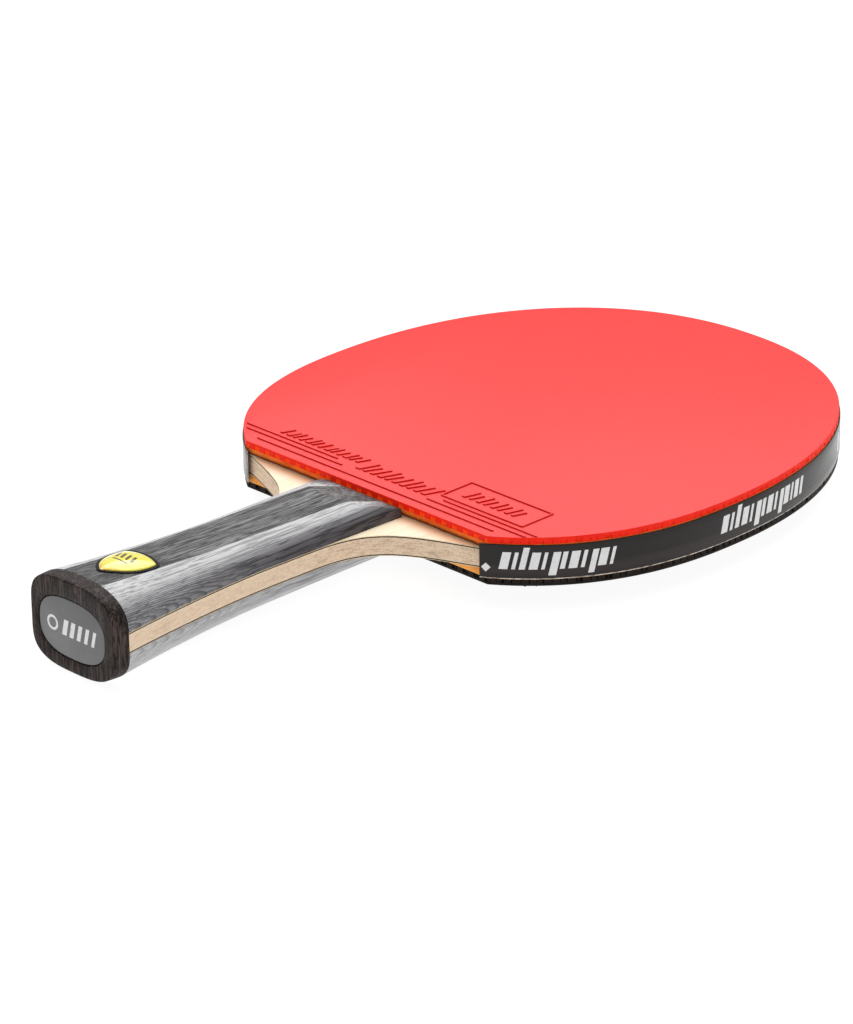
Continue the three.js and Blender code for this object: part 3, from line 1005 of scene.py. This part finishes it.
tapeShape = {
    "tail": (44.3, 101.0),
    "tailBend": (45.4, 101.4),
    "topCorner": 0.10,
    "cutDepth": 0.13,
    "cutRise": 0.30,
    "clearance": 0.01,
    "ripple": 0.04,
    "rippleTurns": (0.21, 0.083),
    "tailStep": 0.6,
    "step": 1.4,
}
tapePrint = {
    "low": -2.0,
    "high": 2.8,
    "lean": 1.1,
    "lift": 0.03,
    "root": 0.02,
    "gap": 0.95,
    "widths": (2.3, 1.0, 1.6, 2.3, 0.9, 2.0, 1.3),
    "tall": {2: (-2.0, 4.2), 5: (-3.7, 2.8), 9: (-3.7, 2.8)},
    "runs": ((5.0, 35.5), (69.0, 103.0), (134.0, 165.0), (199.0, 233.0), (264.0, 295.0), (329.0, 362.0)),
    "lozenge": (1.7, -1.7, 1.25),
}


def tapePath():
    curve = headCurve()
    tail = np.array(tapeShape["tail"])
    lead = evenly(bezier([tail, tapeShape["tailBend"], curve[0]], 20), tapeShape["tailStep"])
    path = np.vstack([lead[:-1], curve, lead[-2::-1] * (-1, 1)])
    return evenly(path, tapeShape["step"])


def buildTape():
    low, high = span("edge_tape")
    thickness = high.x - sheetHigh.x
    path = tapePath()
    shift = outward(path, closed=False)
    lengths = runningLength(path)
    corner = tapeShape["topCorner"]
    deep, rise = tapeShape["cutDepth"], tapeShape["cutRise"]
    inner = tapeShape["clearance"]
    outer = thickness - tapePrint["lift"] - inner
    section = [
        (inner, low.z), (outer - deep, low.z), (outer - 0.4 * deep, low.z + 0.5 * rise),
        (outer, low.z + rise), (outer, low.z / 2), (outer, 0.0), (outer, high.z / 2),
        (outer, high.z - corner), (outer - 0.3 * corner, high.z - 0.3 * corner),
        (outer - corner, high.z), (inner, high.z), (inner, 0.0),
    ]
    quick, slow = tapeShape["rippleTurns"]
    stock = Stock()
    rings = []
    for point, out, s in zip(path, shift, lengths):  # only the upper rim ripples
        ripple = tapeShape["ripple"] * (math.sin(s * quick) + math.sin(s * slow + 1.0) - 2)
        rings.append([(*(point + out * o), z + (ripple if z > high.z * 0.9 else 0)) for o, z in section])
    stock.skin(rings, 0, startKind=1, endKind=1)
    for index, face in enumerate(stock.faces):  # the lower rim's three bands take the edge finish, with its painted highlight
        if len(face) == 4 and index % len(section) in (0, 1, 2):
            stock.kinds[index] = 1
    stock.piece("edge_tape", [tapeFinish(), tapeEdgeFinish()], "edge_tape", sharp=60)

    buildTapePrint(path, shift, outer)
    print("tape built:", round(lengths[-1]), "mm long")


def buildTapePrint(path, shift, surface):
    # white bars that stand where a maker would put a mark; s runs along the tape
    ink = tapePrint
    lengths = runningLength(path)
    near, far = surface - ink["root"], surface + ink["lift"]
    stock = Stock()

    def onTape(s, out, z):
        x, y = (np.interp(s, lengths, path[:, axis] + shift[:, axis] * out) for axis in (0, 1))
        return (x, y, z)

    def printPatch(columns):
        # columns are (s of the foot, s of the head, low z, high z)
        rings = []
        for sFoot, sHead, zLow, zHigh in columns:
            spots = [(sFoot + (sHead - sFoot) * t, zLow + (zHigh - zLow) * t) for t in np.linspace(0, 1, 5)]
            ring = [onTape(s, near, z) for s, z in spots] + [onTape(s, far, z) for s, z in spots[::-1]]
            rings.append(ring[::-1])
        stock.skin(rings)

    for begin, end in ink["runs"]:
        s, bar = begin, 0
        while s < end:
            width = ink["widths"][bar % len(ink["widths"])]
            zLow, zHigh = ink["tall"].get(bar, (ink["low"], ink["high"]))
            lean = ink["lean"] * (zHigh - zLow) / (ink["high"] - ink["low"])
            printPatch([(s + t, s + t + lean, zLow, zHigh) for t in np.linspace(0, width, 4)])
            s += width + ink["gap"]
            bar += 1
    middleS, middle, reach = ink["lozenge"]
    columns = []
    for t in np.linspace(-0.95, 0.95, 7):
        half = reach * (1 - abs(t))
        columns.append((middleS + t * reach, middleS + t * reach, middle - half, middle + half))
    printPatch(columns)
    stock.piece("tape_print", [printFinish()], "edge_tape", sharp=60, standsForNode=False)


handleDetail = {"bodySteps": 44, "bevelSteps": 8, "stripSteps": 12, "flankSteps": 22, "ridgeReach": 8}


def ridgeY(pointAt):
    # where a line of the rounded surface meets the front slope, or the front end
    low, high = handleShape["bevelStart"][0] - handleDetail["ridgeReach"], frontY
    if pointAt(high)[2] <= bevelZ(high):
        return high
    for _ in range(40):
        middle = (low + high) / 2
        if pointAt(middle)[2] > bevelZ(middle):
            high = middle
        else:
            low = middle
    return (low + high) / 2


def surfaceLines(lines):
    # each line's points from the cap joint to the front, with the slope's ridge at one shared index
    rows = []
    for pointAt in lines:
        turn = ridgeY(pointAt)
        body = np.linspace(capJointY, turn, handleDetail["bodySteps"] + 1)
        slope = np.linspace(turn, frontY, handleDetail["bevelSteps"] + 1)[1:]
        row = [pointAt(y) for y in body]
        row += [(pointAt(y)[0], y, min(pointAt(y)[2], bevelZ(y))) for y in slope]
        rows.append(row)
    return rows


def stripLines():
    xs = np.linspace(-stripHalf, stripHalf, handleDetail["stripSteps"] + 1)
    return [lambda y, x=x: (x, y, surfaceZ(x, y)) for x in xs]


def flankLines():
    power = handleShape["sectionPower"]
    lines = []
    for share in np.linspace(1, 0, handleDetail["flankSteps"] + 1):
        def pointAt(y, share=share):
            width = handleWidth(y)
            angle = math.acos((stripHalf / width) ** (power / 2)) * share
            x = stripHalf if share == 1 else width * math.cos(angle) ** (2 / power)
            return (x, y, bladeFace if share == 0 else surfaceZ(x, y))
        lines.append(pointAt)
    return lines


def scaleRings(rows, mirrorX, mirrorZ, footXs):
    # sections from the cap to the front: the lines' points, closed along the blade's face
    rings = []
    for k in range(len(rows[0])):
        ring = [row[k] for row in rows]
        ring += [(x, ring[0][1] if i else ring[-1][1], bladeFace) for i, x in enumerate(footXs)]
        rings.append([(x * mirrorX, y, z * mirrorZ) for x, y, z in ring])
    return rings


def buildScales():
    dark = stripFinish()
    # lit and shaded copies of one wood: the black side's blocks face the lit floor and get much less painted
    # flank shade
    crown = blockFinish("silverBlockRed", 1.0, 0.0)
    under = blockFinish("silverBlockBlack", 0.30, 5.0)
    strip = surfaceLines(stripLines())
    flank = surfaceLines(flankLines())
    for side, z, block in (("red_side", 1, crown), ("black_side", -1, under)):
        rings = scaleRings(strip, 1, z, (stripHalf, -stripHalf))
        skinPiece(rings, "handle_strip_" + side, [dark], "handle_strip_wood", sharp=12, flip=z < 0)
        for hand, x in (("right", 1), ("left", -1)):
            rings = scaleRings(flank, x, z, (stripHalf,))
            node = "handle_block_" + hand + "_" + side
            skinPiece(rings, node, [block], "handle_block_wood", sharp=12, flip=x * z < 0)
    print("handle scales built")


capShape = {
    "frontHalfWidth": 15.7,
    "frontHalfHeight": 12.6,
    "frontPower": 3.1,
    "round": 0.45,
    "roundSteps": 5,
    "levels": 4,
    "points": 128,
    "recessGap": 0.3,
    "lip": 0.12,
}
plateShape = {"halfWidth": 12.5, "halfHeight": 8.1, "power": 2.65, "z": -0.6, "round": 0.16}
plateMark = {
    "ink": 0.02,
    "ringAt": (-7.4, -0.6),
    "ringRadii": (1.4, 2.1),
    "barsAt": (-3.9, -2.8),
    "bars": 5,
    "pitch": 2.8,
    "width": 1.7,
    "thinner": 0.15,
    "rise": (4.4, 1.1),
}
badgeShape = {
    "y": 18.0,
    "halfWidth": 6.8,
    "shoulder": 6.5,
    "crown": 9.5,
    "tip": 8.8,
    "sideControl": (8.8, -3.6),
    "easing": 6,
    "labelLift": 0.08,
    "labelTop": 0.30,
    "domeInset": 0.89,
    "domeEdge": 0.25,
    "domeHeight": 0.99,
    "domeRoll": 0.18,
    "domeGap": 0.01,
    "levels": 12,
}


def capRing(y, margin):
    # one ring of the cap, between its front and the handle's section, seen from the butt
    front = np.array([capShape["frontHalfWidth"], capShape["frontHalfHeight"], capShape["frontPower"]])
    joint = np.array([handleWidth(capJointY), handleHeight(capJointY), handleShape["sectionPower"]])
    width, height, power = front + (joint - front) * y / capJointY - (margin, margin, 0)
    turn = np.linspace(0, math.pi / 2, capShape["points"] // 4 + 1)
    quarter = superellipse(width, height - bladeFace, power, turn) + (0, bladeFace)
    half = np.vstack([quarter, quarter[-2::-1] * (-1, 1)])
    flat = evenly(np.vstack([half, -half]), closed=True, count=capShape["points"])
    return np.c_[flat[:, 0], np.full(len(flat), y), flat[:, 1]]


def plateRing(y, grow):
    width, height = plateShape["halfWidth"] + grow, plateShape["halfHeight"] + grow
    turn = np.linspace(0, 2 * math.pi, 720, endpoint=False)
    loop = superellipse(width, height, plateShape["power"], turn)
    flat = evenly(loop, closed=True, count=capShape["points"])
    return np.c_[flat[:, 0], np.full(len(flat), y), flat[:, 1] + plateShape["z"]]


def buildCap():
    # the cap's skin runs from the joint to its rounded front, then down into the plate's recess
    plateLow, plateHigh = span("butt_badge")
    radius = capShape["round"]
    rings = [capRing(y, 0.0) for y in np.linspace(capJointY, radius, capShape["levels"] + 1)[:-1]]
    for angle in np.linspace(0, math.pi / 2, capShape["roundSteps"] + 1):
        rings.append(capRing(radius * (1 - math.sin(angle)), radius * (1 - math.cos(angle))))
    gap, lip = capShape["recessGap"], capShape["lip"]
    rings.append(plateRing(0.0, gap + lip))
    rings.append(plateRing(lip, gap))
    rings.append(plateRing(plateHigh.y, gap))
    skinPiece(rings, "end_cap", [capFinish()], "cap_wood", sharp=50)

    r = plateShape["round"]
    rings = [plateRing(plateHigh.y, 0), plateRing(plateLow.y + r, 0)]
    rings += [plateRing(plateLow.y + 0.3 * r, -0.3 * r), plateRing(plateLow.y, -r)]
    skinPiece(rings, "butt_badge", [plateFinish()], "butt_badge", sharp=50)
    buildPlateMark(plateLow.y)
    print("end cap built")


def buildPlateMark(faceY):
    # a plain ring and slanted bars in white ink
    mark = plateMark
    stock = Stock()

    def addFlat(corners):
        stock.skin([[(x, faceY + lift, z) for x, z in corners] for lift in (mark["ink"], -mark["ink"])])

    turns = np.linspace(0, 2 * math.pi, 40, endpoint=False)
    inner, outer = mark["ringRadii"]
    x, z = mark["ringAt"]
    for a, b in zip(turns, np.roll(turns, -1)):
        spots = ((inner, a), (outer, a), (outer, b), (inner, b))
        addFlat([(x + r * math.cos(t), z + r * math.sin(t)) for r, t in spots])
    x, z = mark["barsAt"]
    for i in range(mark["bars"]):
        addFlat(slantedBar(x + i * mark["pitch"], z, mark["width"] - i * mark["thinner"], *mark["rise"]))
    stock.piece("butt_mark", [printFinish()], "butt_badge", sharp=50, standsForNode=False)


def shieldOutline():
    b = badgeShape
    corner = (b["halfWidth"], b["shoulder"])
    other = (-corner[0], corner[1])
    tip = (0, -b["tip"])
    top = bezier([corner, (0, b["crown"]), other], 60)
    right = bezier([tip, b["sideControl"], corner], 60)
    left = right[::-1] * (-1, 1)
    loop = evenly(np.vstack([top[:-1], left[:-1], right[:-1]]), 0.3, closed=True)
    # the three corners are eased by averaging neighbours along the loop
    for _ in range(b["easing"]):
        loop = (np.roll(loop, 1, 0) + loop * 2 + np.roll(loop, -1, 0)) / 4
    return loop


def drapedRings(outline, under, upperAt):
    # rings that grow under the badge, then shrink over it, all following the strip's curve
    def ringAt(share, lift):
        flat = outline * share + (0, badgeShape["y"])
        return [(x, y, surfaceZ(x, y) + lift) for x, y in flat]

    levels = badgeShape["levels"]
    shares = [i / levels for i in range(1, levels + 1)]
    rings = [ringAt(share, under) for share in shares]
    rings += [ringAt(share, upperAt(share)) for share in reversed(shares)]
    return rings


def buildHandleBadge():
    b = badgeShape
    outline = shieldOutline()

    def crown(share):
        # a low dome whose rim rolls off
        rise = (b["domeHeight"] - b["domeEdge"]) * (1 - share**2)
        return b["labelTop"] + b["domeEdge"] + rise - b["domeRoll"] * share**12

    label = drapedRings(outline, b["labelLift"], lambda share: b["labelTop"])
    dome = drapedRings(outline * b["domeInset"], b["labelTop"] + b["domeGap"], crown)
    skinPiece(label, "handle_badge_label", [labelFinish()], "badge_label", sharp=60)
    skinPiece(dome, "handle_badge_dome", [domeFinish()], "badge_dome", sharp=70)
    print("handle badge built")


cameraSetup = {
    "azimuth": 45.98,
    "elevation": 23.68,
    "roll": -0.87,
    "distance": 1366.6,
    "focal": 176.15,
    "sensor": 36.0,
    "across": -28.31,
    "up": -18.43,
    "aim": (0.0, 164.7, 0.0),
}
lights = {"world": 0.42, "watts": 84.0, "size": 3.0, "at": (-0.7, 1.0, 2.1)}  # one lamp above, in metres


def buildCamera():
    s = cameraSetup  # angles in degrees, the rest in millimetres
    az, el, roll = (math.radians(s[key]) for key in ("azimuth", "elevation", "roll"))
    back = Vector((math.sin(az) * math.cos(el), -math.cos(az) * math.cos(el), math.sin(el)))
    right = (-back).cross(Vector((0, 0, 1))).normalized()
    up = right.cross(-back)
    rolledRight = right * math.cos(roll) + up * math.sin(roll)
    rolledUp = up * math.cos(roll) - right * math.sin(roll)
    place = Vector(s["aim"]) + back * s["distance"] + rolledRight * s["across"] + rolledUp * s["up"]
    data = bpy.data.cameras.new("camera")
    data.lens = s["focal"]
    data.sensor_width = s["sensor"]
    data.clip_start, data.clip_end = 0.05, 60
    camera = addObject("camera", data)
    turn = Matrix((rolledRight, rolledUp, back)).transposed().to_4x4()
    camera.matrix_world = Matrix.Translation(place * mm + home) @ turn
    bpy.context.scene.camera = camera


def buildStudio():
    half = floorLook["halfSize"]
    mesh = bpy.data.meshes.new("floor")
    corners = [(-half, -half, 0), (half, -half, 0), (half, half, 0), (-half, half, 0)]
    mesh.from_pydata(corners, [], [(0, 1, 2, 3)])
    mesh.materials.append(floorFinish())
    floor = addObject("floor", mesh)
    world = bpy.data.worlds.new("studio")
    world.use_nodes = True
    background = world.node_tree.nodes["Background"]
    background.inputs["Color"].default_value = (1, 1, 1, 1)
    background.inputs["Strength"].default_value = lights["world"]
    bpy.context.scene.world = world
    data = bpy.data.lights.new("overhead", "AREA")
    data.shape = "SQUARE"
    data.size = lights["size"]
    data.energy = lights["watts"]
    lamp = addObject("overhead", data)
    lamp.location = lights["at"]
    lamp.rotation_euler = (-Vector(lights["at"])).to_track_quat("-Z", "Y").to_euler()
    bpy.context.scene.view_settings.view_transform = "Standard"
    print("studio set")


buildCamera()
buildBlade()
buildRubbers()
buildTape()
buildScales()
buildCap()
buildHandleBadge()
buildStudio()
